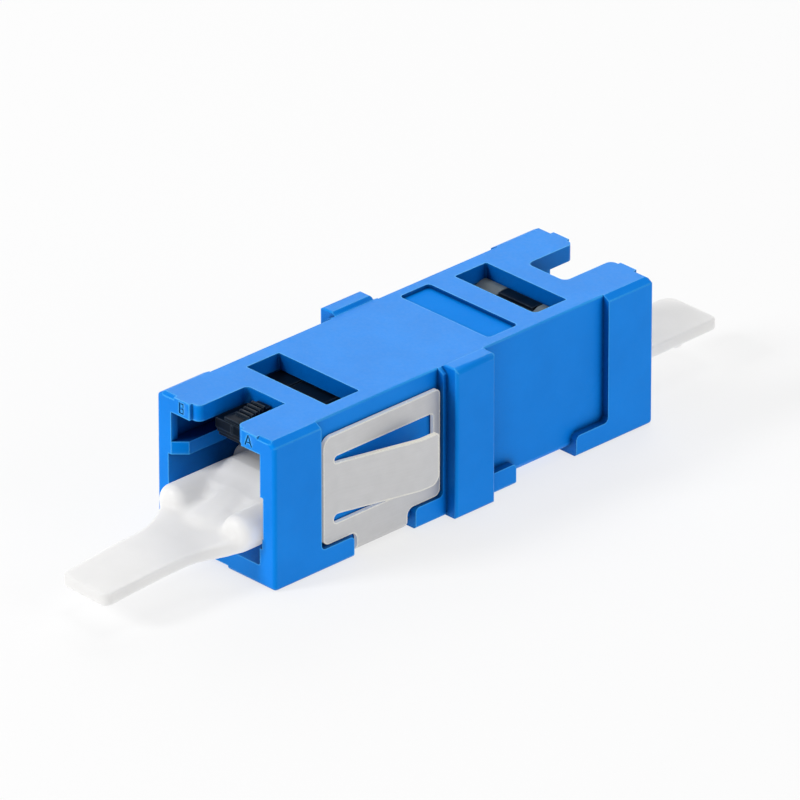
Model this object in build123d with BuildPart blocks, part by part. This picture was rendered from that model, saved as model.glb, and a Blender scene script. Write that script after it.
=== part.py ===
from build123d import *
import os

# Duplex fibre optic adapter: moulded housing, folded steel mounting clip, two
# sleeve holders with split sleeves, two latch hooks and two soft dust caps.
# Origin: centre of the housing's underside.  +Y runs along the ports, +Z up.
# The front port opens towards -Y, the rear port towards +Y.

# ---------------------------------------------------------------- dimensions
LENGTH = 29.3            # housing, face to face
HALF = LENGTH / 2
HEIGHT = 9.1             # housing without the stop ribs
HW = 4.7                 # half width over the proud skin
CORE = 4.25              # half width inside the clip recesses
TOP_BEVEL = 0.26         # drop of the shallow bevel between CORE and HW

# clip recess on each side, distances measured from the nearer end face
REC_OUT, REC_IN, REC_FLOOR = 3.56, 12.85, 1.30
NECK_OUT, NECK_IN, NECK_DEPTH = 6.05, 10.75, 0.42

# stop ribs around the middle
RIB_HALF, RIB_HW, RIB_TOP = 1.50, 5.50, 9.30

# ports
FLOOR_Z, CEIL_Z = 1.25, 8.10
RAIL_LO, RAIL_HI, RAIL_HW = 5.47, 6.27, 2.85
MOUTH_HW, WIDE_HW = 3.55, 3.85
NOTCH_HW, NOTCH_LEN = 1.50, 3.85
WIN_HW, WIN_OUT, WIN_IN = 3.20, 5.40, 7.87
LABEL_HW, LABEL_Y0, LABEL_Y1, LABEL_DEEP = 3.55, 2.83, 5.10, 0.20

# fibre axes and split sleeves
PITCH, AXIS_Z = 3.80, 3.40
SLEEVE_ID, SLEEVE_OD, SLEEVE_LEN, SLEEVE_SLIT = 1.25, 1.60, 6.80, 0.20

# sleeve holders
FLANGE_T, TUBE_R, TUBE_TIP = 2.45, 1.25, 4.90
ARM_HW, ARM_LO, ARM_HI, ARM_SLOT = 3.15, 7.40, 8.04, 1.42

# latch hooks
HOOK_HW, HOOK_LO, HOOK_HI = 1.35, 6.90, 8.04
HOOK_FACE = 1.30         # face of the hook behind the housing's end face

# mounting clip
SHEET = 0.25
CLIP_X = 4.30            # inner face of the side plates
CLIP_OUT, CLIP_IN, CLIP_LO, CLIP_HI = 3.85, 12.75, 1.40, 8.00
CLIP_NECK_OUT, CLIP_NECK_IN = 6.40, 10.25
STRAP_Z = 0.12
TONGUE_LO, TONGUE_HI = 3.05, 6.20

# dust caps
CAP_LEN = 15.1
LOBE_R, LOBE_X, LOBE_Z = 1.02, 2.55, 3.20
GRIP_HW, GRIP_TIP_HW = 2.05, 1.96
COLLAR_HW, COLLAR_LO, COLLAR_HI = 3.60, 2.05, 4.85
COLLAR_LEN, COLLAR_LEAD = 2.20, 1.90
FRONT_CAP_OUT, REAR_CAP_OUT = 9.70, 7.90   # how far each grip stands out of its port


def near(value, target, tol=1e-3):
    return abs(value - target) < tol


# ------------------------------------------- stop ribs of the housing's skin
with BuildPart() as stop_ribs:
    # section across the ports: proud of the sides, and a little of the top
    with BuildSketch(Plane.XZ.offset(RIB_HALF)) as rib_sk:
        for side in (1, -1):
            with BuildLine():
                Polyline(
                    (side * 3.95, 0), (side * RIB_HW, 0), (side * RIB_HW, RIB_TOP),
                    (side * 4.50, RIB_TOP), (side * CORE, HEIGHT), (side * 3.95, HEIGHT),
                    close=True,
                )
            make_face()
        fillet(rib_sk.vertices().filter_by(
            lambda v: near(abs(v.X), RIB_HW) and near(v.Y, RIB_TOP)), 0.38)
        fillet(rib_sk.vertices().filter_by(
            lambda v: near(abs(v.X), RIB_HW) and near(v.Y, 0)), 0.25)
    extrude(amount=-2 * RIB_HALF)
    # rounded upright edges, then softened top edges
    with BuildSketch(Plane.XY):
        RectangleRounded(2 * RIB_HW, 2 * RIB_HALF, 0.22)
    extrude(amount=RIB_TOP, mode=Mode.INTERSECT)
    with BuildSketch(Plane.YZ.offset(-6)) as rib_side_sk:
        with Locations((0, RIB_TOP / 2)):
            Rectangle(2 * RIB_HALF, RIB_TOP)
        fillet(rib_side_sk.vertices().filter_by(lambda v: near(v.Y, RIB_TOP)), 0.12)
    extrude(amount=12, mode=Mode.INTERSECT)

# ------------------------------------------------------------------- housing
with BuildPart() as housing:
    # outer block with the shallow top bevel
    with BuildSketch(Plane.XZ.offset(HALF)) as shell_sk:
        with BuildLine():
            Polyline(
                (-HW, 0), (HW, 0), (HW, HEIGHT - TOP_BEVEL), (CORE, HEIGHT),
                (-CORE, HEIGHT), (-HW, HEIGHT - TOP_BEVEL), close=True,
            )
        make_face()
        fillet(shell_sk.vertices().filter_by(lambda v: near(v.Y, 0)), 0.20)
        fillet(shell_sk.vertices().filter_by(lambda v: near(v.Y, HEIGHT - TOP_BEVEL)), 0.10)
    extrude(amount=-LENGTH)
    fillet(
        housing.edges().filter_by(Axis.Z).filter_by(lambda e: abs(e.center().X) > HW - 0.01),
        0.25,
    )
    # clip recesses on both sides of both halves, each with a neck to the underside
    for side in (1, -1):
        with BuildSketch(Plane.YZ.offset(side * CORE)) as rec_sk:
            for end in (1, -1):
                y = [end * (HALF - d) for d in (REC_OUT, NECK_OUT, NECK_IN, REC_IN)]
                with BuildLine():
                    Polyline(
                        (y[0], 10), (y[0], REC_FLOOR), (y[1], REC_FLOOR), (y[1], -1),
                        (y[2], -1), (y[2], REC_FLOOR), (y[3], REC_FLOOR), (y[3], 10),
                        close=True,
                    )
                make_face()
            fillet(rec_sk.vertices().filter_by(lambda v: near(v.Y, REC_FLOOR)), 0.30)
        extrude(amount=side * 2, mode=Mode.SUBTRACT)
    # strap channels under the bottom
    with Locations(*[(0, end * (HALF - (NECK_OUT + NECK_IN) / 2), NECK_DEPTH / 2 - 0.5)
                     for end in (1, -1)]):
        Box(14, NECK_IN - NECK_OUT, NECK_DEPTH + 1.0, mode=Mode.SUBTRACT)
    fillet(
        housing.edges().filter_by(Axis.Y).filter_by(
            lambda e: near(e.center().Z, NECK_DEPTH) and near(abs(e.center().X), CORE)),
        0.45,
    )
    # the core's top edges inside the recesses
    fillet(
        housing.edges().filter_by(Axis.Y).filter_by(
            lambda e: near(e.center().Z, HEIGHT) and near(abs(e.center().X), CORE)
            and near(e.length, REC_IN - REC_OUT, 0.05)),
        0.12,
    )
    # stop ribs around the middle
    add(stop_ribs.part)
    # stepped port section, right through
    with BuildSketch(Plane.XZ.offset(HALF)) as port_sk:
        pts = [
            (3.50, FLOOR_Z), (3.50, 2.30), (3.70, 2.30), (3.70, 2.90), (3.78, 2.90),
            (3.78, RAIL_LO), (RAIL_HW, RAIL_LO), (RAIL_HW, RAIL_HI),
            (MOUTH_HW, RAIL_HI), (MOUTH_HW, CEIL_Z),
        ]
        with BuildLine():
            Polyline(*pts, *[(-x, z) for x, z in reversed(pts)], close=True)
        make_face()
        fillet(port_sk.vertices().filter_by(lambda v: near(v.Y, FLOOR_Z)), 0.15)
    extrude(amount=-LENGTH, mode=Mode.SUBTRACT)
    # upper channel widens behind the mouths
    with BuildSketch(Plane.XZ.offset(HALF - 0.5)):
        with Locations((0, (RAIL_HI + CEIL_Z) / 2)):
            Rectangle(2 * WIDE_HW, CEIL_Z - RAIL_HI)
    extrude(amount=-(LENGTH - 1.0), mode=Mode.SUBTRACT)
    # lead-ins where the rails start
    with BuildSketch(Plane.XY.offset(RAIL_LO)):
        for end in (1, -1):
            for side in (1, -1):
                with BuildLine():
                    Polyline(
                        (side * (MOUTH_HW + 0.02), end * (HALF + 0.02)), (side * 2.0, end * (HALF + 0.02)),
                        (side * 2.0, end * (HALF - 0.74)), (side * RAIL_HW, end * (HALF - 0.72)),
                        close=True,
                    )
                make_face()
    extrude(amount=RAIL_HI - RAIL_LO, mode=Mode.SUBTRACT)
    # latch notches in the top wall, open at both ends, with rounded lip tips
    with BuildSketch(Plane.XY.offset(CEIL_Z)) as notch_sk:
        for end in (1, -1):
            with Locations((0, end * (HALF - NOTCH_LEN / 2 + 0.25))):
                Rectangle(2 * NOTCH_HW, NOTCH_LEN + 0.5)
        fillet(notch_sk.vertices().filter_by(lambda v: near(v.Y, HALF - NOTCH_LEN)), 0.40)
        fillet(notch_sk.vertices().filter_by(
            lambda v: near(v.Y, NOTCH_LEN - HALF) and v.X < 0), 0.32)
    extrude(amount=2.0, mode=Mode.SUBTRACT)
    with BuildSketch(Plane.XY.offset(CEIL_Z)) as lip_sk:
        for end in (1, -1):
            for side in (1, -1):
                with BuildLine():
                    Line((side * 1.40, end * (HALF - 0.62)), (side * 1.50, end * (HALF - 0.62)))
                    ThreePointArc(
                        (side * 1.50, end * (HALF - 0.62)),
                        (side * 1.623, end * (HALF - 0.323)),
                        (side * 1.92, end * (HALF - 0.20)),
                    )
                    Polyline(
                        (side * 1.92, end * (HALF - 0.20)), (side * 2.05, end * (HALF - 0.20)),
                        (side * 2.05, end * (HALF + 0.20)), (side * 1.40, end * (HALF + 0.20)),
                        (side * 1.40, end * (HALF - 0.62)),
                    )
                make_face()
    extrude(amount=2.0, mode=Mode.SUBTRACT)
    # small bevel of the end faces' top edges, outboard of the channel marks
    for side in (1, -1):
        with BuildSketch(Plane.YZ.offset(side * 3.30)):
            for end in (1, -1):
                with BuildLine():
                    Polyline(
                        (end * (HALF + 0.05), HEIGHT - 0.204), (end * (HALF + 0.05), HEIGHT + 0.2),
                        (end * (HALF - 0.25), HEIGHT + 0.2), (end * (HALF - 0.25), HEIGHT),
                        close=True,
                    )
                make_face()
        extrude(amount=side * 1.6, mode=Mode.SUBTRACT)
    # windows over both halves, and the shallow label recess
    with BuildSketch(Plane.XY.offset(CEIL_Z)) as win_sk:
        for end in (1, -1):
            with Locations((0, end * (HALF - (WIN_OUT + WIN_IN) / 2))):
                Rectangle(2 * WIN_HW, WIN_IN - WIN_OUT)
        fillet(win_sk.vertices().filter_by(
            lambda v: not (v.X > 0 and near(v.Y, HALF - WIN_IN))), 0.10)
        fillet(win_sk.vertices().filter_by(
            lambda v: near(v.X, WIN_HW) and near(v.Y, HALF - WIN_IN)), 0.35)
    extrude(amount=2.0, mode=Mode.SUBTRACT)
    with BuildSketch(Plane.XY.offset(HEIGHT)):
        with Locations((0, (LABEL_Y0 + LABEL_Y1) / 2)):
            RectangleRounded(2 * LABEL_HW, LABEL_Y1 - LABEL_Y0, 0.25)
    extrude(amount=-LABEL_DEEP, mode=Mode.SUBTRACT)
    # shallow relief in the middle of each end's bottom edge
    with Locations(*[(0, end * (HALF - 1.15), 0) for end in (1, -1)]):
        Box(1.90, 2.50, 0.54, mode=Mode.SUBTRACT)
    # channel marks A and B, engraved on the lip ends
    for end in (1, -1):
        mark_plane = Plane(origin=(0, end * HALF, 0), x_dir=(-end, 0, 0), z_dir=(0, end, 0))
        with BuildSketch(mark_plane):
            # B
            with Locations((-2.86, 8.62)):
                Rectangle(0.09, 0.66)
            for zc, r in ((8.79, 0.165), (8.46, 0.175)):
                with Locations((-2.68, zc)):
                    Rectangle(0.30, 2 * r)
                    Rectangle(0.16, 2 * r - 0.16, mode=Mode.SUBTRACT)
            # A
            with BuildLine():
                Polyline((2.33, 8.29), (2.43, 8.29), (2.63, 8.83), (2.83, 8.29), (2.93, 8.29),
                         (2.68, 8.95), (2.58, 8.95), close=True)
            make_face()
            with Locations((2.63, 8.50)):
                Rectangle(0.34, 0.08)
        extrude(amount=-0.06, mode=Mode.SUBTRACT)
housing.part.label = "housing"

# ------------------------------------------------------ split sleeves (A, B)
with BuildPart() as sleeve_a:
    with BuildSketch(Plane.XZ.offset(SLEEVE_LEN / 2)):
        with Locations((PITCH / 2, AXIS_Z)):
            Circle(SLEEVE_OD / 2)
            Circle(SLEEVE_ID / 2, mode=Mode.SUBTRACT)
        with Locations((PITCH / 2, AXIS_Z + 0.7)):
            Rectangle(SLEEVE_SLIT, 1.0, mode=Mode.SUBTRACT)
    extrude(amount=-SLEEVE_LEN)
sleeve_a.part.label = "sleeve_a"

with BuildPart() as sleeve_b:
    mirror(sleeve_a.part, about=Plane.YZ)
sleeve_b.part.label = "sleeve_b"

# ------------------------------------------------------------ sleeve holders
with BuildPart() as sleeve_holder_front:
    # flange that fills the stepped port section next to the middle plane
    with BuildSketch(Plane.XZ.offset(FLANGE_T)):
        pts = [
            (3.45, FLOOR_Z + 0.05), (3.45, RAIL_LO - 0.05), (RAIL_HW - 0.05, RAIL_LO - 0.05),
            (RAIL_HW - 0.05, RAIL_HI + 0.05), (3.50, RAIL_HI + 0.05), (3.50, ARM_HI),
        ]
        with BuildLine():
            Polyline(*pts, *[(-x, z) for x, z in reversed(pts)], close=True)
        make_face()
    extrude(amount=-(FLANGE_T - 0.02))
    # tubes around the sleeves
    with BuildSketch(Plane.XZ.offset(TUBE_TIP)):
        with Locations((-PITCH / 2, AXIS_Z), (PITCH / 2, AXIS_Z)):
            Circle(TUBE_R)
    extrude(amount=-(TUBE_TIP - 1.0))
    chamfer(
        sleeve_holder_front.edges().filter_by(GeomType.CIRCLE).filter_by(
            lambda e: near(e.center().Y, -TUBE_TIP)), 0.18)
    # pocket for each sleeve, then the coned guide hole that keeps it in
    with BuildSketch(Plane.XZ.offset(SLEEVE_LEN / 2 + 0.03)):
        with Locations((-PITCH / 2, AXIS_Z), (PITCH / 2, AXIS_Z)):
            Circle(SLEEVE_OD / 2 + 0.03)
    extrude(amount=-(SLEEVE_LEN / 2 + 0.03), mode=Mode.SUBTRACT)
    with Locations(*[Location((side * PITCH / 2, -(TUBE_TIP + 0.01 + SLEEVE_LEN / 2) / 2, AXIS_Z), (90, 0, 0))
                     for side in (1, -1)]):
        Cone(0.72, 0.92, TUBE_TIP + 0.01 - SLEEVE_LEN / 2, mode=Mode.SUBTRACT)
    # two arms under the top wall, with teeth that snap up into the window
    arm_y0, arm_y1 = -(HALF - WIN_OUT - 0.04), -(FLANGE_T - 0.4)
    for side in (1, -1):
        with BuildSketch(Plane.YZ.offset(side * ARM_SLOT)):
            with BuildLine():
                Polyline(
                    (arm_y0, ARM_LO + 0.25), (arm_y0, 8.20), (arm_y0 + 0.45, 8.20), (arm_y0 + 0.85, ARM_HI),
                    (arm_y1, ARM_HI), (arm_y1, ARM_LO), (arm_y0 + 0.35, ARM_LO), close=True,
                )
            make_face()
        extrude(amount=side * (ARM_HW - ARM_SLOT))
    # pocket for the root of the latch hook
    with Locations((0, -FLANGE_T + 0.5, (HOOK_LO + ARM_HI) / 2)):
        Box(2 * ARM_SLOT, 1.1, ARM_HI - HOOK_LO + 0.10, mode=Mode.SUBTRACT)
sleeve_holder_front.part.label = "sleeve_holder_front"

with BuildPart() as sleeve_holder_rear:
    mirror(sleeve_holder_front.part, about=Plane.XZ)
sleeve_holder_rear.part.label = "sleeve_holder_rear"


# --------------------------------------------------------------- latch hooks
def hook_shape(end, pad_len, face, nose, steps):
    """Latch hook bar: stepped nose in the notch, pad in the window, root in the holder.
    face is how far the nose stays behind the housing's end face, nose its top."""
    def yd(d):
        return end * (HALF - d)

    with BuildSketch(Plane.YZ.offset(-HOOK_HW)) as bar_sk:
        with BuildLine():
            Polyline(
                (yd(face), nose), (yd(face), 7.55),
                (yd(face + 0.12), 7.55), (yd(face + 0.12), 7.26),
                (yd(face + 0.24), 7.26), (yd(face + 0.24), 7.02),
                (yd(face + 0.36), 6.95),
                (yd(HALF - FLANGE_T + 0.95), 6.95),
                (yd(HALF - FLANGE_T + 0.95), HOOK_HI - 0.05),
                (yd(WIN_OUT + 0.05 + pad_len), HOOK_HI - 0.05), (yd(WIN_OUT + 0.05 + pad_len), 8.20),
                (yd(WIN_OUT + 0.05), 8.20), (yd(WIN_OUT + 0.05), HOOK_HI - 0.05),
                (yd(NOTCH_LEN - 0.10), HOOK_HI - 0.05), (yd(NOTCH_LEN - 0.10), nose),
                close=True,
            )
        make_face()
    extrude(bar_sk.sketch, amount=2 * HOOK_HW)
    # small steps up the back of the nose
    for i in range(steps):
        y0, y1 = face + 0.70 + 0.29 * i, NOTCH_LEN - 0.10
        top = nose + 0.35 + 0.065 * i
        with BuildSketch(Plane.YZ.offset(-0.50)) as step_sk:
            with BuildLine():
                Polyline(
                    (yd(y0), nose - 0.15), (yd(y0), top - 0.05), (yd(y0 + 0.05), top),
                    (yd(y0 + 0.17), top), (yd(y0 + 0.22), top - 0.16),
                    (yd(y1), top - 0.16), (yd(y1), nose - 0.15), close=True,
                )
            make_face()
        extrude(step_sk.sketch, amount=1.00)
    # collar around the nose and its ridge
    if steps:
        with Locations((0, yd(face + 0.55), nose + 0.07)):
            Box(1.5, 0.9, 0.25)
    with Locations((0, yd(face - 0.03), 7.85)):
        Box(0.16, 0.10, 2 * (nose - 0.02 - 7.85))


with BuildPart() as latch_hook_front:
    hook_shape(-1, 1.20, HOOK_FACE, 8.15, 5)
latch_hook_front.part.label = "latch_hook_front"

with BuildPart() as latch_hook_rear:
    hook_shape(1, 0.80, HOOK_FACE + 1.30, 8.02, 0)
latch_hook_rear.part.label = "latch_hook_rear"

# ------------------------------------------------------------- mounting clip
with BuildPart() as mounting_clip:
    for side in (1, -1):
        # side plate with its neck and the cut-out around the tongue
        with BuildSketch(Plane.YZ.offset(side * CLIP_X)) as plate_sk:
            y = [-HALF + d for d in (CLIP_OUT, CLIP_NECK_OUT, CLIP_NECK_IN, CLIP_IN)]
            with BuildLine():
                Polyline(
                    (y[0], CLIP_HI), (y[0], CLIP_LO), (y[1], CLIP_LO), (y[1], 0.75),
                    (y[2], 0.75), (y[2], CLIP_LO), (y[3], CLIP_LO), (y[3], CLIP_HI), close=True,
                )
            make_face()
            fillet(plate_sk.vertices().filter_by(
                lambda v: near(v.X, -HALF + CLIP_OUT) and near(v.Y, CLIP_HI)), 0.65)
            fillet(plate_sk.vertices().filter_by(
                lambda v: near(v.X, -HALF + CLIP_IN) and near(v.Y, CLIP_HI)), 0.30)
            fillet(plate_sk.vertices().filter_by(
                lambda v: near(v.Y, CLIP_LO) and (near(v.X, -HALF + CLIP_OUT) or near(v.X, -HALF + CLIP_IN))), 0.40)
            fillet(plate_sk.vertices().filter_by(
                lambda v: near(v.Y, CLIP_LO) and (near(v.X, -HALF + CLIP_NECK_OUT)
                                                  or near(v.X, -HALF + CLIP_NECK_IN))), 0.45)
        extrude(amount=side * SHEET)
        with BuildSketch(Plane.YZ.offset(side * (CLIP_X - 0.1))) as cut_sk:
            with Locations((-HALF + (5.0 + 12.25) / 2, (2.50 + 6.65) / 2)):
                Rectangle(12.25 - 5.0, 6.65 - 2.50)
            fillet(cut_sk.vertices().filter_by(lambda v: near(v.X, -HALF + 12.25)), 0.30)
            for z0, z1 in ((2.50, TONGUE_LO), (TONGUE_HI, 6.65)):
                r = (z1 - z0) / 2
                with Locations((-HALF + 4.90, (z0 + z1) / 2)):
                    Circle(r)
                with Locations((-HALF + 5.0, (z0 + z1) / 2)):
                    Rectangle(0.2, 2 * r)
        extrude(amount=side * (SHEET + 0.2), mode=Mode.SUBTRACT)
        # sprung tongue, bent outwards towards the stop rib
        with BuildSketch(Plane.XY.offset(TONGUE_LO)) as tongue_sk:
            with BuildLine():
                Polyline(
                    (side * 4.30, -HALF + 4.40), (side * 4.55, -HALF + 4.40), (side * 4.55, -HALF + 5.00),
                    (side * 5.84, -HALF + 10.10), (side * 5.84, -HALF + 11.45),
                    (side * 5.59, -HALF + 11.45), (side * 5.59, -HALF + 10.13),
                    (side * 4.30, -HALF + 5.03), close=True,
                )
            make_face()
            fillet(tongue_sk.vertices().filter_by(lambda v: near(abs(v.X), 5.84) and near(v.Y, -HALF + 10.10)), 2.60)
            fillet(tongue_sk.vertices().filter_by(lambda v: near(abs(v.X), 5.59) and near(v.Y, -HALF + 10.13)), 2.35)
            fillet(tongue_sk.vertices().filter_by(lambda v: near(abs(v.X), 4.55) and near(v.Y, -HALF + 5.00)), 2.00)
            fillet(tongue_sk.vertices().filter_by(lambda v: near(abs(v.X), 4.30) and near(v.Y, -HALF + 5.03)), 2.25)
        extrude(amount=TONGUE_HI - TONGUE_LO)
    # the tongues' lower free corners are rounded
    fillet(
        mounting_clip.edges().filter_by(Axis.X).filter_by(
            lambda e: near(e.center().Y, -HALF + 11.45) and near(e.center().Z, TONGUE_LO)), 0.60)
    fillet(
        mounting_clip.edges().filter_by(Axis.X).filter_by(
            lambda e: near(e.center().Y, -HALF + 11.45) and near(e.center().Z, TONGUE_HI)), 0.20)
    # strap under the housing with its two bends
    with BuildSketch(Plane.XZ.offset(HALF - CLIP_NECK_OUT)) as strap_sk:
        with Locations((0, STRAP_Z + 0.44)):
            Rectangle(2 * (CLIP_X + SHEET), 0.88)
        fillet(strap_sk.vertices().filter_by(lambda v: near(v.Y, STRAP_Z)), 0.55)
        with BuildSketch(mode=Mode.SUBTRACT) as strap_in:
            with Locations((0, STRAP_Z + SHEET + 0.44)):
                Rectangle(2 * CLIP_X, 0.88)
            fillet(strap_in.vertices().filter_by(lambda v: near(v.Y, STRAP_Z + SHEET)), 0.30)
    extrude(amount=-(CLIP_NECK_IN - CLIP_NECK_OUT))
mounting_clip.part.label = "mounting_clip"


# ----------------------------------------------------------------- dust caps
def cap_shape(end, out, tops, bottoms, corner_plus, corner_minus, slant=0.0):
    """Dust cap: a plug with two rounded outer lobes and a ramp between them, a collar
    at its inner end, a flared neck and a flat tapered grip.
    end is the side it plugs into, out how far the grip stands out of the port,
    tops and bottoms the grip's side profile as (distance out, z), slant how much
    further its tip reaches on the +X side."""
    def yo(o):
        return end * (HALF + o)

    def face_at(o):
        return Plane(origin=(0, yo(o), 0), x_dir=(-end, 0, 0), z_dir=(0, end, 0))

    deep = out - CAP_LEN             # inner end, negative: inside the port
    lip = out - 8.0                  # outer end of the lobes
    # outer lobes
    with BuildSketch(face_at(deep + 0.2)) as lobe_sk:
        with Locations((-LOBE_X, LOBE_Z), (LOBE_X, LOBE_Z)):
            Circle(LOBE_R)
    lobes = extrude(lobe_sk.sketch, amount=lip - deep - 0.2)
    fillet(lobes.edges().filter_by(GeomType.CIRCLE).filter_by(lambda e: near(e.center().Y, yo(lip))), 0.80)
    # slab between them
    with BuildSketch(face_at(deep + 0.2)) as slab_sk:
        with Locations((0, 2.90)):
            RectangleRounded(2 * LOBE_X, 1.40, 0.20)
    extrude(slab_sk.sketch, amount=lip - deep - 0.6)
    # ramp in the middle, rising into the port
    with BuildSketch(Plane.YZ.offset(-1.15)) as ramp_sk:
        with BuildLine():
            Polyline((yo(lip + 0.75), 2.95), (yo(lip - 4.3), 4.45), (yo(deep + 0.2), 4.55),
                     (yo(deep + 0.2), 2.25), (yo(lip + 0.75), 2.20), close=True)
        make_face()
    extrude(ramp_sk.sketch, amount=2.30)
    # collar that grips the port's walls
    with BuildSketch(face_at(deep)) as collar_a:
        with Locations((0, (COLLAR_LO + COLLAR_HI) / 2)):
            RectangleRounded(2 * COLLAR_HW, COLLAR_HI - COLLAR_LO, 0.95)
    extrude(collar_a.sketch, amount=COLLAR_LEN)
    with BuildSketch(face_at(deep + COLLAR_LEN)) as collar_b:
        with Locations((0, (COLLAR_LO + COLLAR_HI) / 2)):
            RectangleRounded(2 * COLLAR_HW, COLLAR_HI - COLLAR_LO, 0.95)
    with BuildSketch(face_at(deep + COLLAR_LEN + COLLAR_LEAD)) as collar_c:
        with Locations((0, 3.05)):
            RectangleRounded(2 * COLLAR_HW - 0.6, 1.70, 0.70)
    loft([collar_b.sketch, collar_c.sketch])
    # flared neck from the grip to the slab
    with BuildSketch(face_at(lip - 0.9)) as neck_a:
        with Locations((0, 2.88)):
            RectangleRounded(6.30, 1.40, 0.60)
    with BuildSketch(face_at(lip + 0.30)) as neck_b:
        with Locations((0, 2.62)):
            RectangleRounded(5.00, 1.10, 0.45)
    with BuildSketch(face_at(lip + 1.90)) as neck_c:
        with Locations((0, 2.42)):
            RectangleRounded(2 * GRIP_HW, 0.66, 0.20)
    loft([neck_a.sketch, neck_b.sketch, neck_c.sketch])
    # flat grip: plan outline cut to its profile in side view
    with BuildSketch(Plane.XY.offset(1.0)) as plan_sk:
        with BuildLine():
            Polyline((-GRIP_TIP_HW, yo(out)), (-GRIP_HW, yo(out - 6.0)), (-GRIP_HW, yo(lip - 0.8)),
                     (GRIP_HW, yo(lip - 0.8)), (GRIP_HW, yo(out - 6.0)), (GRIP_TIP_HW, yo(out + slant)), close=True)
        make_face()
        fillet(plan_sk.vertices().filter_by(lambda v: near(v.X, GRIP_TIP_HW)), corner_plus)
        fillet(plan_sk.vertices().filter_by(lambda v: near(v.X, -GRIP_TIP_HW)), corner_minus)
    with BuildSketch(Plane.YZ.offset(-3.0)) as side_sk:
        with BuildLine():
            Polyline(*[(yo(o), z) for o, z in tops],
                     *[(yo(o), z) for o, z in reversed(bottoms)], close=True)
        make_face()
    plan = extrude(plan_sk.sketch, amount=3.0, mode=Mode.PRIVATE)
    side = extrude(side_sk.sketch, amount=6.0, mode=Mode.PRIVATE)
    add(plan & side)


with BuildPart() as dust_cap_front:
    cap_shape(
        -1, FRONT_CAP_OUT,
        [(10.10, 2.48), (8.00, 2.60), (6.00, 2.68), (3.50, 2.74), (1.00, 3.00)],
        [(10.10, 1.68), (8.00, 1.88), (6.00, 1.98), (3.50, 2.05), (1.00, 2.10)],
        0.55, 0.25, slant=0.40)
dust_cap_front.part.label = "dust_cap_front"

with BuildPart() as dust_cap_rear:
    cap_shape(
        1, REAR_CAP_OUT,
        [(7.90, 2.84), (5.00, 2.84), (2.50, 2.84), (-1.10, 3.00)],
        [(7.90, 2.16), (5.00, 2.16), (2.50, 2.14), (-1.10, 2.12)],
        0.40, 0.80)
    # small moulding nub under the grip
    with BuildSketch(Plane.XY.offset(1.74)) as nub_sk:
        with Locations((1.20, HALF + 5.20)):
            Circle(0.44)
    extrude(nub_sk.sketch, amount=0.80)
dust_cap_rear.part.label = "dust_cap_rear"

# -------------------------------------------------------------------- export
os.makedirs("parts", exist_ok=True)
export_step(housing.part, "parts/housing.step")
export_step(mounting_clip.part, "parts/mounting_clip.step")
export_step(sleeve_holder_front.part, "parts/sleeve_holder_front.step")
export_step(sleeve_holder_rear.part, "parts/sleeve_holder_rear.step")
export_step(latch_hook_front.part, "parts/latch_hook_front.step")
export_step(latch_hook_rear.part, "parts/latch_hook_rear.step")
export_step(sleeve_a.part, "parts/sleeve_a.step")
export_step(sleeve_b.part, "parts/sleeve_b.step")
export_step(dust_cap_front.part, "parts/dust_cap_front.step")
export_step(dust_cap_rear.part, "parts/dust_cap_rear.step")
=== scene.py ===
import math
import bpy
import numpy as np
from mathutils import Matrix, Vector

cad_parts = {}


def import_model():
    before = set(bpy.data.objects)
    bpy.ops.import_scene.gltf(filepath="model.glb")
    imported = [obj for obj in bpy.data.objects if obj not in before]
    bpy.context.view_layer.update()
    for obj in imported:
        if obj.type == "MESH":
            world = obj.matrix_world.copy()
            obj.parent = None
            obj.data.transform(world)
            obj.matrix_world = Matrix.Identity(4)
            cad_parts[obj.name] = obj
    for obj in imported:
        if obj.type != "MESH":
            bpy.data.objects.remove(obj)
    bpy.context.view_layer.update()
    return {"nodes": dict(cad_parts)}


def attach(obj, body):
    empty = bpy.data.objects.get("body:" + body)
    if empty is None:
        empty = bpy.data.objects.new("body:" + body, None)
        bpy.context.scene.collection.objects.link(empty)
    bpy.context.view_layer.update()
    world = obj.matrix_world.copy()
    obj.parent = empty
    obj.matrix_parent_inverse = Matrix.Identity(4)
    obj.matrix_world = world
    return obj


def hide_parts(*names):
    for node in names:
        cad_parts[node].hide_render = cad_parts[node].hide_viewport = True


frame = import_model()
nodes = frame["nodes"]
scene = bpy.context.scene
MM = 0.001
HALF = 14.65          # half the housing's length, mm


# ------------------------------------------------------------------- helpers
def smooth_mesh(me):
    me.polygons.foreach_set("use_smooth", np.ones(len(me.polygons), dtype=bool))
    me.update()


def mesh_object(name, verts_mm, faces, material):
    me = bpy.data.meshes.new(name)
    me.from_pydata((np.asarray(verts_mm) * MM).tolist(), [], [list(map(int, f)) for f in faces])
    me.validate()
    smooth_mesh(me)
    me.materials.append(material)
    ob = bpy.data.objects.new(name, me)
    scene.collection.objects.link(ob)
    return ob


def smin(a, b, k):
    h = np.clip(0.5 + 0.5 * (b - a) / k, 0.0, 1.0)
    return b * (1 - h) + a * h - k * h * (1 - h)


def smax(a, b, k):
    return -smin(-a, -b, k)


def rounded(a, b, r):
    """Intersection of two distances with a fillet of radius r."""
    u, v = np.maximum(a + r, 0), np.maximum(b + r, 0)
    return np.minimum(np.maximum(a, b) + r, 0) + np.hypot(u, v) - r


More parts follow.
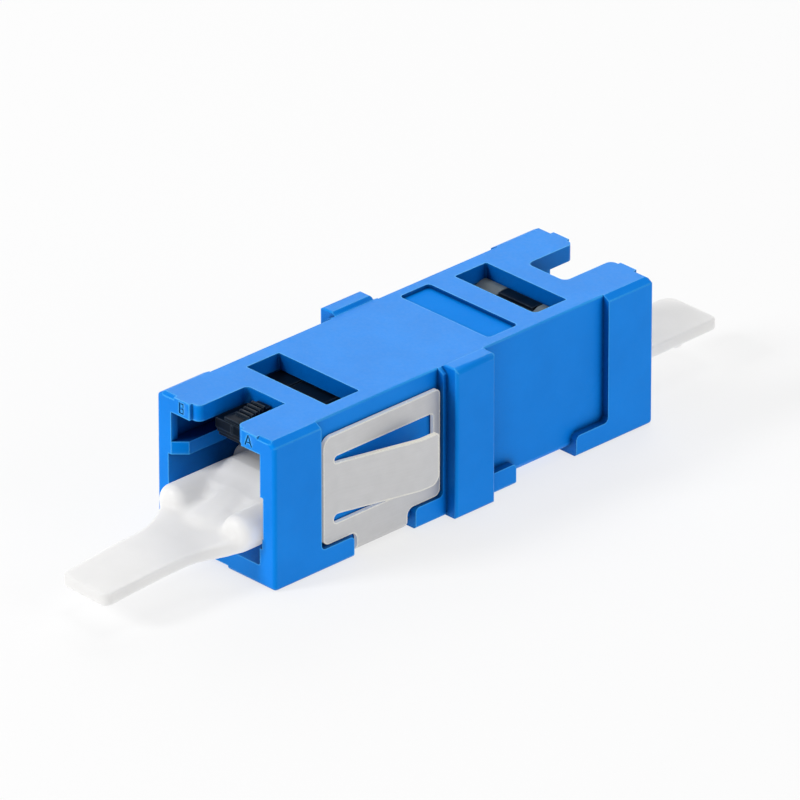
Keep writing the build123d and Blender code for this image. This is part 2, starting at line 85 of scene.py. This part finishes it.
def surface_nets(field, lo, hi, step):
    """Mesh of the zero surface of field(x, y, z), as welded quads, then drawn onto the surface."""
    axes = [np.arange(l, h + step, step) for l, h in zip(lo, hi)]
    X, Y, Z = np.meshgrid(*axes, indexing="ij")
    F = field(X, Y, Z)
    inside = F < 0
    nx, ny, nz = (len(a) for a in axes)
    acc = np.zeros((nx - 1, ny - 1, nz - 1, 3))
    cnt = np.zeros((nx - 1, ny - 1, nz - 1))
    corners = [(i, j, k) for i in (0, 1) for j in (0, 1) for k in (0, 1)]
    for a in corners:
        for axis in range(3):
            if a[axis]:
                continue
            b = list(a)
            b[axis] = 1
            fa = F[a[0]:a[0] + nx - 1, a[1]:a[1] + ny - 1, a[2]:a[2] + nz - 1]
            fb = F[b[0]:b[0] + nx - 1, b[1]:b[1] + ny - 1, b[2]:b[2] + nz - 1]
            cross = (fa < 0) != (fb < 0)
            t = np.where(cross, fa / np.where(cross, fa - fb, 1.0), 0.0)
            for c in range(3):
                val = a[c] + (t if c == axis else 0.0)
                acc[..., c] += np.where(cross, val, 0.0)
            cnt += cross
    live = cnt > 0
    index = -np.ones(live.shape, dtype=np.int64)
    index[live] = np.arange(live.sum())
    cell = np.argwhere(live)
    pos = np.array(lo) + step * (cell + acc[live] / cnt[live][:, None])
    quads = []
    for axis in range(3):
        o1, o2 = [c for c in range(3) if c != axis]
        sl_a = [slice(None)] * 3
        sl_b = [slice(None)] * 3
        sl_a[axis], sl_b[axis] = slice(0, -1), slice(1, None)
        ia, ib = inside[tuple(sl_a)], inside[tuple(sl_b)]
        change = ia != ib
        for c in (o1, o2):
            edge = [slice(None)] * 3
            edge[c] = slice(0, 1)
            change[tuple(edge)] = False
            edge[c] = slice(-1, None)
            change[tuple(edge)] = False
        at = np.argwhere(change)
        start_in = ia[change]
        d1, d2 = np.zeros(3, int), np.zeros(3, int)
        d1[o1], d2[o2] = 1, 1
        c00 = at - d1 - d2
        c10 = at - d2
        c01 = at - d1
        c11 = at
        q = np.stack([index[tuple(c.T)] for c in (c00, c10, c11, c01)], axis=1)
        flip = start_in if axis != 1 else ~start_in
        q[~flip] = q[~flip][:, ::-1]
        quads.append(q)
    quads = np.concatenate(quads)
    e = step * 0.1
    for _ in range(4):
        f0 = field(*pos.T)
        g = np.stack([
            field(pos[:, 0] + e, pos[:, 1], pos[:, 2]) - field(pos[:, 0] - e, pos[:, 1], pos[:, 2]),
            field(pos[:, 0], pos[:, 1] + e, pos[:, 2]) - field(pos[:, 0], pos[:, 1] - e, pos[:, 2]),
            field(pos[:, 0], pos[:, 1], pos[:, 2] + e) - field(pos[:, 0], pos[:, 1], pos[:, 2] - e),
        ], axis=1) / (2 * e)
        n2 = np.maximum((g ** 2).sum(1), 0.05)
        move = (f0 / n2)[:, None] * g
        length = np.linalg.norm(move, axis=1)[:, None]
        pos = pos - move * np.minimum(1.0, step * 0.4 / np.maximum(length, 1e-9))
    return pos, quads


# ----------------------------------------------------------------- materials
class Mat:
    def __init__(self, name):
        self.mat = bpy.data.materials.new(name)
        self.mat.use_nodes = True
        self.nt = self.mat.node_tree
        self.nt.nodes.clear()
        self.out = self.node("ShaderNodeOutputMaterial")
        self.bsdf = self.node("ShaderNodeBsdfPrincipled")
        self.nt.links.new(self.bsdf.outputs[0], self.out.inputs["Surface"])
        self.coord = self.node("ShaderNodeTexCoord")

    def node(self, kind, **values):
        n = self.nt.nodes.new(kind)
        for k, v in values.items():
            if k in n.inputs:
                n.inputs[k].default_value = v
            else:
                setattr(n, k, v)
        return n

    def link(self, a, b):
        self.nt.links.new(a, b)

    def set(self, **values):
        for k, v in values.items():
            self.bsdf.inputs[k.replace("_", " ")].default_value = v

    def mapped(self, scale):
        m = self.node("ShaderNodeMapping")
        m.inputs["Scale"].default_value = scale
        self.link(self.coord.outputs["Object"], m.inputs["Vector"])
        return m.outputs[0]

    def noise(self, scale, detail=2.0, rough=0.5, vector=None):
        n = self.node("ShaderNodeTexNoise", Scale=scale, Detail=detail, Roughness=rough)
        self.link(vector or self.coord.outputs["Object"], n.inputs["Vector"])
        return n.outputs["Fac"]

    def ramp(self, fac, stops):
        r = self.node("ShaderNodeValToRGB")
        while len(r.color_ramp.elements) < len(stops):
            r.color_ramp.elements.new(0.5)
        for el, (p, c) in zip(r.color_ramp.elements, stops):
            el.position = p
            el.color = c if len(c) == 4 else (*c, 1)
        self.link(fac, r.inputs[0])
        return r.outputs[0]

    def range(self, fac, lo, hi, a=0.3, b=0.7):
        m = self.node("ShaderNodeMapRange")
        m.inputs[1].default_value, m.inputs[2].default_value = a, b
        m.inputs[3].default_value, m.inputs[4].default_value = lo, hi
        self.link(fac, m.inputs[0])
        return m.outputs[0]

    def bump(self, height, strength, distance, normal=None):
        b = self.node("ShaderNodeBump", Strength=strength, Distance=distance)
        self.link(height, b.inputs["Height"])
        if normal is not None:
            self.link(normal, b.inputs["Normal"])
        return b.outputs[0]


    def mix(self, fac, a, b, blend="MIX"):
        n = self.node("ShaderNodeMix", data_type="RGBA", blend_type=blend)
        for socket, v in ((n.inputs["Factor"], fac), (n.inputs[6], a), (n.inputs[7], b)):
            if isinstance(v, (int, float, tuple)):
                socket.default_value = (*v, 1) if isinstance(v, tuple) else v
            else:
                self.link(v, socket)
        return n.outputs[2]

    def times(self, a, b):
        n = self.node("ShaderNodeMath", operation="MULTIPLY")
        self.link(a, n.inputs[0])
        self.link(b, n.inputs[1])
        return n.outputs[0]

    def near(self, distance, local=True, samples=6):
        n = self.node("ShaderNodeAmbientOcclusion", samples=samples, only_local=local)
        n.inputs["Distance"].default_value = distance
        return n.outputs["AO"]

    def edges(self, radius, lo=0.008, hi=0.070):
        """1 on edges, fading to 0 at the given radius from them."""
        bevel = self.node("ShaderNodeBevel", samples=4)
        bevel.inputs["Radius"].default_value = radius
        geo = self.node("ShaderNodeNewGeometry")
        dot = self.node("ShaderNodeVectorMath", operation="DOT_PRODUCT")
        self.link(bevel.outputs[0], dot.inputs[0])
        self.link(geo.outputs["True Normal"], dot.inputs[1])
        return self.range(dot.outputs["Value"], 1.0, 0.0, 1 - hi, 1 - lo)


def blue_plastic(name="blue_moulded_plastic", low=(0.0003, 0.208, 0.815), high=(0.0012, 0.238, 0.895), rough=(0.40, 0.50), level=0.38):
    m = Mat(name)
    flow = m.noise(260.0, 3.0, 0.55)
    colour = m.ramp(flow, [(0.30, low), (0.72, high)])
    # painted shade: an occlusion mask darkens the colour inside the ports, in corners and in narrow gaps between
    # parts; painted highlight: light lines on the edges
    ao = m.near(0.0060)
    shade = m.ramp(ao, [(0.10, (0.08, 0.10, 0.15)), (0.50, (0.24, 0.27, 0.33)), (0.70, (0.56, 0.58, 0.63)), (0.86, (1.0, 1.0, 1.0))])
    # painted contact shadow: darker where another part or the floor comes close
    contact_shade = m.ramp(m.near(0.00035, local=False, samples=4), [(0.30, (0.34, 0.40, 0.50)), (0.80, (1.0, 1.0, 1.0))])
    body = m.mix(1.0, m.mix(1.0, colour, shade, "MULTIPLY"), contact_shade, "MULTIPLY")
    # painted highlight: convex edges are mixed towards a light blue
    painted_edge_highlight = m.times(m.edges(0.00013), m.range(ao, 0.0, 1.0, 0.78, 0.90))
    m.link(m.mix(painted_edge_highlight, body, (0.085, 0.480, 1.0)), m.bsdf.inputs["Base Color"])
    grain = m.noise(9000.0, 3.0, 0.6)
    m.link(m.range(m.noise(5200.0, 2.0), rough[0], rough[1]), m.bsdf.inputs["Roughness"])
    broad = m.noise(420.0, 2.0, 0.5)
    n1 = m.bump(broad, 0.10, 0.00008)
    m.link(m.bump(grain, 0.20, 0.000006, n1), m.bsdf.inputs["Normal"])
    m.set(Specular_IOR_Level=level, IOR=1.5)
    m.bsdf.inputs["Specular Tint"].default_value = (0.0, 1.0, 1.0, 1)
    return m.mat


def spring_steel(name, rough, tint, brushed=True):
    m = Mat(name)
    if brushed:
        lines = m.noise(1.0, 3.0, 0.5, m.mapped((500.0, 500.0, 14000.0)))
        spots = m.noise(1500.0, 3.0, 0.6)
        colour = m.ramp(lines, [(0.35, tuple(0.975 * c for c in tint)), (0.65, tint)])
        # painted contact shadow: the steel is darkened where another part comes close
        contact_shade = m.ramp(m.near(0.00040, local=False, samples=4), [(0.35, (0.45, 0.45, 0.46)), (0.80, (1.0, 1.0, 1.0))])
        # painted highlight: edges are mixed towards warm white and made less metallic
        painted_edge_highlight = m.edges(0.00018)
        m.link(m.mix(painted_edge_highlight, m.mix(1.0, colour, contact_shade, "MULTIPLY"), (0.98, 0.96, 0.86)), m.bsdf.inputs["Base Color"])
        m.link(m.range(painted_edge_highlight, 1.0, 0.20, 0.2, 1.0), m.bsdf.inputs["Metallic"])
        m.link(m.range(spots, rough - 0.04, rough + 0.05), m.bsdf.inputs["Roughness"])
        m.link(m.bump(lines, 0.05, 0.000003), m.bsdf.inputs["Normal"])
    else:
        spots = m.noise(4000.0, 2.0, 0.6)
        m.link(m.ramp(spots, [(0.3, tuple(0.95 * c for c in tint)), (0.7, tint)]), m.bsdf.inputs["Base Color"])
        m.link(m.range(spots, rough - 0.03, rough + 0.03), m.bsdf.inputs["Roughness"])
    # painted light: the plain copy is light and glows faintly, a highlight for the cut faces
    if not brushed:
        m.set(Metallic=0.25, Emission_Strength=0.20)
        m.bsdf.inputs["Emission Color"].default_value = (1.0, 0.93, 0.80, 1)
    return m.mat


# the near-black colours are tinted blue: a painted reflection of the blue housing
def black_plastic(name="black_moulded_plastic", low=(0.0012, 0.0030, 0.0075), high=(0.0030, 0.0065, 0.0140), rough=(0.30, 0.38), level=0.07):
    m = Mat(name)
    tone = m.noise(900.0, 3.0, 0.55)
    body = m.ramp(tone, [(0.3, low), (0.7, high)])
    # painted highlight: edges are mixed towards a dark grey-blue
    m.link(m.mix(m.edges(0.00009, 0.02, 0.12), body, (0.040, 0.055, 0.075)), m.bsdf.inputs["Base Color"])
    m.link(m.range(m.noise(3800.0, 2.0), rough[0], rough[1]), m.bsdf.inputs["Roughness"])
    m.link(m.bump(m.noise(9000.0, 3.0, 0.6), 0.20, 0.000006), m.bsdf.inputs["Normal"])
    m.set(Specular_IOR_Level=level)
    m.bsdf.inputs["Specular Tint"].default_value = (0.35, 0.65, 1.0, 1)
    return m.mat


def natural_plastic():
    m = Mat("natural_grey_plastic")
    tone = m.noise(700.0, 3.0, 0.55)
    m.link(m.ramp(tone, [(0.3, (0.115, 0.140, 0.150)), (0.7, (0.150, 0.178, 0.186))]), m.bsdf.inputs["Base Color"])
    m.link(m.range(m.noise(3800.0, 2.0), 0.38, 0.48), m.bsdf.inputs["Roughness"])
    m.link(m.bump(m.noise(9000.0, 3.0, 0.6), 0.20, 0.000006), m.bsdf.inputs["Normal"])
    m.set(Specular_IOR_Level=0.45)
    return m.mat


def zirconia():
    m = Mat("zirconia_ceramic")
    tone = m.noise(1200.0, 2.0, 0.5)
    m.link(m.ramp(tone, [(0.3, (0.82, 0.81, 0.77)), (0.7, (0.88, 0.87, 0.84))]), m.bsdf.inputs["Base Color"])
    m.link(m.range(m.noise(6000.0, 2.0), 0.12, 0.20), m.bsdf.inputs["Roughness"])
    m.set(Specular_IOR_Level=0.7, Coat_Weight=0.4, Coat_Roughness=0.08)
    return m.mat


def white_cap():
    m = Mat("soft_white_polyethylene")
    tone = m.noise(320.0, 3.0, 0.55)
    m.link(m.ramp(tone, [(0.30, (0.590, 0.585, 0.576)), (0.70, (0.620, 0.614, 0.605))]), m.bsdf.inputs["Base Color"])
    m.link(m.range(m.noise(3000.0, 2.0), 0.40, 0.50), m.bsdf.inputs["Roughness"])
    broad = m.noise(500.0, 2.0, 0.5)
    n1 = m.bump(broad, 0.06, 0.00010)
    m.link(m.bump(m.noise(7000.0, 3.0, 0.6), 0.15, 0.000006, n1), m.bsdf.inputs["Normal"])
    m.set(Subsurface_Weight=0.55, Subsurface_Scale=0.0010, Specular_IOR_Level=0.36, IOR=1.5,
          Emission_Strength=0.29)
    # painted light: the cap glows, brightest on the thick plug at the port's mouth, less on the thin grip outside,
    # and only faintly deep in the port
    xyz = m.node("ShaderNodeSeparateXYZ")
    m.link(m.coord.outputs["Object"], xyz.inputs[0])
    along = m.node("ShaderNodeMath", operation="ABSOLUTE")
    m.link(xyz.outputs["Y"], along.inputs[0])
    plug_painted_glow = m.mix(m.range(along.outputs[0], 0.0, 1.0, 0.0108, 0.0124), (0.12, 0.12, 0.12), (1.0, 1.0, 1.0))
    m.link(m.mix(m.range(along.outputs[0], 0.0, 1.0, 0.0158, 0.0178), plug_painted_glow, (0.69, 0.69, 0.69)),
           m.bsdf.inputs["Emission Color"])
    m.bsdf.inputs["Subsurface Radius"].default_value = (1.0, 1.0, 1.0)
    return m.mat


BLUE = blue_plastic()
# painted highlight: the housing's bevel faces get a lighter, glossier copy of the blue
BLUE_RIM_HIGHLIGHT = blue_plastic("blue_edge_painted_highlight", (0.050, 0.400, 0.960), (0.070, 0.430, 0.980), (0.24, 0.32), 0.50)
BLUE_FLAT = blue_plastic("blue_label_recess", (0.0, 0.225, 0.820), (0.0, 0.245, 0.870), (0.40, 0.50), 0.02)
STEEL = spring_steel("satin_spring_steel", 0.50, (0.64, 0.64, 0.645))
STEEL_CUT_HIGHLIGHT = spring_steel("steel_cut_face_painted_highlight", 0.25, (0.95, 0.93, 0.82), brushed=False)
BLACK = black_plastic()
# painted highlight: the bevel faces of the black parts get a lighter, glossier copy of the black
BLACK_RIM_HIGHLIGHT = black_plastic("black_edge_painted_highlight", (0.004, 0.008, 0.015), (0.008, 0.014, 0.024), (0.24, 0.30), 0.14)
NATURAL = natural_plastic()
ZIRCONIA = zirconia()
WHITE = white_cap()


def dress(name, material, bevel_mm, segments=2, angle=28.0, edge=None):
    """A CAD node keeps its mesh and place: new material, welded, its flat facets joined,
    and its sharp edges given a small moulded or cut radius."""
    ob = nodes[name]
    ob.data.materials.clear()
    ob.data.materials.append(material)
    if edge is not None:
        ob.data.materials.append(edge)
    weld = ob.modifiers.new("weld", "WELD")
    weld.merge_threshold = 1e-6
    flat = ob.modifiers.new("join_flats", "DECIMATE")
    flat.decimate_type = "DISSOLVE"
    flat.angle_limit = math.radians(0.4)
    if bevel_mm:
        bv = ob.modifiers.new("soft_edges", "BEVEL")
        bv.width = bevel_mm * MM
        bv.segments = segments
        bv.limit_method = "ANGLE"
        bv.angle_limit = math.radians(angle)
        bv.harden_normals = False
        bv.use_clamp_overlap = True
        bv.miter_outer = "MITER_ARC"
        # painted highlight: the bevel faces take the lighter edge copy where one is given
        if edge is not None:
            bv.material = 1
    smooth_mesh(ob.data)
    wn = ob.modifiers.new("shade", "WEIGHTED_NORMAL")
    wn.keep_sharp = False
    wn.weight = 50
    wn.mode = "FACE_AREA"
    wn.thresh = 0.01
    return ob


dress("housing", BLUE, 0.065, segments=2, edge=BLUE_RIM_HIGHLIGHT)
# the floor of the label recess is a smooth bare panel with its own finish
shell = nodes["housing"].data
shell.materials.append(BLUE_FLAT)
for poly in shell.polygons:
    c = poly.center / MM
    if abs(c.x) < 3.6 and 2.8 < c.y < 5.2 and 8.7 < c.z < 8.98 and poly.normal.z > 0.9:
        poly.material_index = 2
dress("mounting_clip", STEEL, 0.040, segments=2, edge=STEEL_CUT_HIGHLIGHT)
# painted highlight: the strip's cut faces get the light, faintly glowing steel copy, brighter than its rolled ones
for poly in nodes["mounting_clip"].data.polygons:
    side = poly.center.z > 0.6 * MM
    if (side and abs(poly.normal.x) < 0.6) or (not side and abs(poly.normal.y) > 0.6):
        poly.material_index = 1
dress("sleeve_holder_front", BLACK, 0.035, edge=BLACK_RIM_HIGHLIGHT)
dress("sleeve_holder_rear", NATURAL, 0.04)
dress("latch_hook_front", BLACK, 0.018, edge=BLACK_RIM_HIGHLIGHT)
dress("latch_hook_rear", BLACK, 0.018, edge=BLACK_RIM_HIGHLIGHT)
dress("sleeve_a", ZIRCONIA, 0.02)
dress("sleeve_b", ZIRCONIA, 0.02)


# ----------------------------------------------------------------- dust caps
def cap_field(out, top_r, top_l, under, corner_p, corner_m, slant=0.0):
    """Distance field of a soft dust cap.  o runs out of the port, x across, z up (mm).
    top_r and top_l are the grip's upper profile along its two long edges, under its lower one."""
    lip = out - 8.45
    deep = out - 15.1

    def profile(table, o):
        t = sorted(table)
        return np.interp(o, [p[0] for p in t], [p[1] for p in t])

    def soft_profile(table, o, w=0.45):
        return (profile(table, o - w) + profile(table, o - w / 2) + profile(table, o)
                + profile(table, o + w / 2) + profile(table, o + w)) / 5

    def field(x, o, z):
        # two lobes with rounded ends
        h0, h1 = deep + 0.3, lip
        oc, hh = (h0 + h1) / 2, (h1 - h0) / 2
        d = None
        for s in (-1, 1):
            rad = np.hypot(x - s * 2.55, z - 3.20) - 1.02
            lobe = rounded(rad, np.abs(o - oc) - hh, 0.62)
            d = lobe if d is None else np.minimum(d, lobe)
        # slab between them
        st = np.interp(o, [lip - 2.65, lip - 1.55, lip + 0.2], [3.98, 3.44, 3.06])
        slab = rounded(np.abs(x) - 2.55, np.abs(z - (st + 2.20) / 2) - (st - 2.20) / 2, 0.25)
        slab = rounded(slab, np.abs(o - (oc - 0.1)) - hh, 0.30)
        d = smin(d, slab, 0.32)
        # ramp in the middle, rising into the port
        slope = 0.280
        top = (z - (3.36 + (lip + 0.10 - o) * slope)) / math.hypot(1, slope)
        top = smax(top, (z - 4.45), 0.4)
        front = (o - (lip + 0.30) + (z - 3.1) * 0.35) / 1.0595
        ramp = rounded(smax(top, 2.3 - z, 0.1), np.abs(x + 0.05) - 0.88, 0.58)
        ramp = rounded(ramp, smax(front, (deep + 0.3) - o, 0.1), 0.30)
        d = smin(d, ramp, 0.46)
        # collar that grips the port's walls, with a coned lead
        collar = rounded(np.abs(x) - 3.58, np.abs(z - 3.44) - 1.38, 1.25)
        collar = rounded(collar, np.abs(o - (deep + 0.38)) - 0.36, 0.12)
        c = np.clip((o - (deep + 2.4)) / 1.7, 0, 1)
        lead = rounded(np.abs(x) - 2.65, np.abs(z - 3.44 + 0.39 * c) - (1.38 - 0.53 * c), 1.0)
        lead = rounded(lead, np.abs(o - (deep + 2.06)) - 2.04, 0.12)
        d = smin(smin(d, collar, 0.22), lead, 0.30)
        # flared neck and flat tapered grip, one surface
        wide = [(lip - 2.0, 3.10), (lip - 0.7, 3.10), (lip + 0.2, 2.95), (lip + 0.8, 2.62), (lip + 1.4, 2.30),
                (lip + 2.0, 2.12), (lip + 2.6, 2.04), (out - 5.0, 2.04), (out, 1.97), (out + 1, 1.96)]
        w = soft_profile(wide, o, 0.35)
        tr, tl = soft_profile(top_r, o), soft_profile(top_l, o)
        k = np.clip((x + 1.95) / 3.9, -0.3, 1.3)
        gt = tl + (tr - tl) * k
        gb = soft_profile(under, o) + (gt - tr)
        rc = np.where(x > 0, corner_p, corner_m)
        u, v = np.abs(x) - w, o - out - slant * (x + 1.95) / 3.9
        plan = np.minimum(np.maximum(u, v) + rc, 0) + np.hypot(np.maximum(u + rc, 0), np.maximum(v + rc, 0)) - rc
        plan = np.maximum(plan, (lip - 1.6) - o)
        edge = np.interp(o, [lip, lip + 2.4], [0.30, 0.10])
        grip = rounded(plan, np.abs(z - (gt + gb) / 2) - (gt - gb) / 2, edge)
        d = smin(d, grip, np.interp(o, [lip, lip + 1.5, lip + 3.0], [0.45, 0.42, 0.15]))
        return d

    return field


def make_cap(name, end, out, field, body, node, extra=None):
    step = 0.085

    def world(x, y, z):
        o = end * y - HALF
        d = field(x, o, z)
        if extra is not None:
            d = extra(d, x, o, z)
        return d

    y0, y1 = sorted((end * (HALF + out + 0.5), end * (HALF + out - 15.1)))
    verts, quads = surface_nets(world, (-3.9, y0 - 0.3, 1.2), (3.9, y1 + 0.3, 5.2), step)
    ob = mesh_object(name, verts, quads, WHITE)
    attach(ob, body)
    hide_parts(node)
    return ob


front_field = cap_field(
    9.70,
    [(11, 2.46), (9.7, 2.50), (8.0, 2.60), (6.0, 2.70), (4.0, 2.76), (2.8, 2.84), (1.7, 3.02), (0.5, 3.25)],
    [(11, 2.18), (9.7, 2.28), (8.3, 2.42), (6.0, 2.62), (4.2, 2.71), (3.5, 2.76), (2.8, 2.86), (1.7, 3.02), (0.5, 3.25)],
    [(11, 1.66), (9.7, 1.72), (8.0, 1.86), (6.0, 2.00), (4.0, 2.08), (2.8, 2.02), (1.7, 2.05), (0.5, 2.20)],
    0.55, 0.28, slant=0.40)
make_cap("soft_cap_front", -1, 9.70, front_field, "front_cap", "dust_cap_front")

rear_field = cap_field(
    7.90,
    [(7.9, 2.86), (4.5, 2.86), (2.0, 2.88), (0.0, 3.00)],
    [(7.9, 2.86), (4.5, 2.86), (2.0, 2.88), (0.0, 3.00)],
    [(7.9, 2.16), (4.5, 2.16), (2.0, 2.16), (0.0, 2.10)],
    0.40, 0.80)


def nub(d, x, o, z):
    n = rounded(np.hypot(x - 1.20, o - 5.20) - 0.44, np.abs(z - 2.05) - 0.30, 0.14)
    return smin(d, n, 0.12)


make_cap("soft_cap_rear", 1, 7.90, rear_field, "rear_cap", "dust_cap_rear", extra=nub)

# --------------------------------------------------------------------- floor
fm = Mat("pale_floor")
fm.link(fm.ramp(fm.noise(6.0, 2.0), [(0.3, (0.260, 0.260, 0.260)), (0.7, (0.265, 0.265, 0.265))]), fm.bsdf.inputs["Base Color"])
fm.set(Roughness=1.0, Specular_IOR_Level=0.0, Emission_Strength=0.722)
fm.bsdf.inputs["Emission Color"].default_value = (1, 1, 1, 1)
me = bpy.data.meshes.new("floor")
s = 6.0
low = -0.00003
me.from_pydata([(-s, -s, low), (s, -s, low), (s, s, low), (-s, s, low)], [], [(0, 1, 2, 3)])
me.materials.append(fm.mat)
floor = bpy.data.objects.new("floor", me)
scene.collection.objects.link(floor)

# --------------------------------------------------------------------- light
world = bpy.data.worlds.new("studio")
scene.world = world
world.use_nodes = True
bg = world.node_tree.nodes["Background"]
bg.inputs[0].default_value = (1.0, 1.0, 1.0, 1)
bg.inputs[1].default_value = 0.32


def area(name, direction, distance, size, level, colour=(1, 1, 1)):
    """Soft square light; level is the brightness it gives a white surface that faces it."""
    d = Vector(direction).normalized()
    data = bpy.data.lights.new(name, "AREA")
    data.shape = "SQUARE"
    data.size = size
    data.energy = level * math.pi ** 2 * distance ** 2
    data.color = colour
    ob = bpy.data.objects.new(name, data)
    scene.collection.objects.link(ob)
    ob.location = Vector((0, 0, 0.0045)) + d * distance
    ob.rotation_euler = d.to_track_quat("Z", "Y").to_euler()
    ob.visible_camera = False
    return ob


area("key", (-0.45, -1.0, 0.70), 0.75, 0.18, 0.58)
area("back", (-0.62, 0.66, 0.55), 0.80, 0.50, 0.28)
area("top", (-0.05, 0.20, 1.0), 0.80, 0.30, 0.16)
area("side", (1.0, 0.30, 0.50), 0.75, 0.35, 0.17)

# -------------------------------------------------------------------- camera
cam = bpy.data.cameras.new("camera")
cam.sensor_width = 36.0
cam.sensor_height = 36.0
cam.sensor_fit = "HORIZONTAL"
cam.lens = 606.88
cam.shift_x = -0.01475
cam.shift_y = 0.00598
cam.clip_start = 0.01
cam.clip_end = 50
cam_ob = bpy.data.objects.new("camera", cam)
scene.collection.objects.link(cam_ob)
cam_ob.location = (0.47907, -0.46401, 0.34654)
cam_ob.rotation_euler = (Vector((0, 0.00035, 0.0045)) - cam_ob.location).to_track_quat("-Z", "Y").to_euler()
scene.camera = cam_ob

scene.view_settings.view_transform = "Standard"
scene.view_settings.look = "None"
scene.view_settings.exposure = 0.0
scene.view_settings.gamma = 1.0
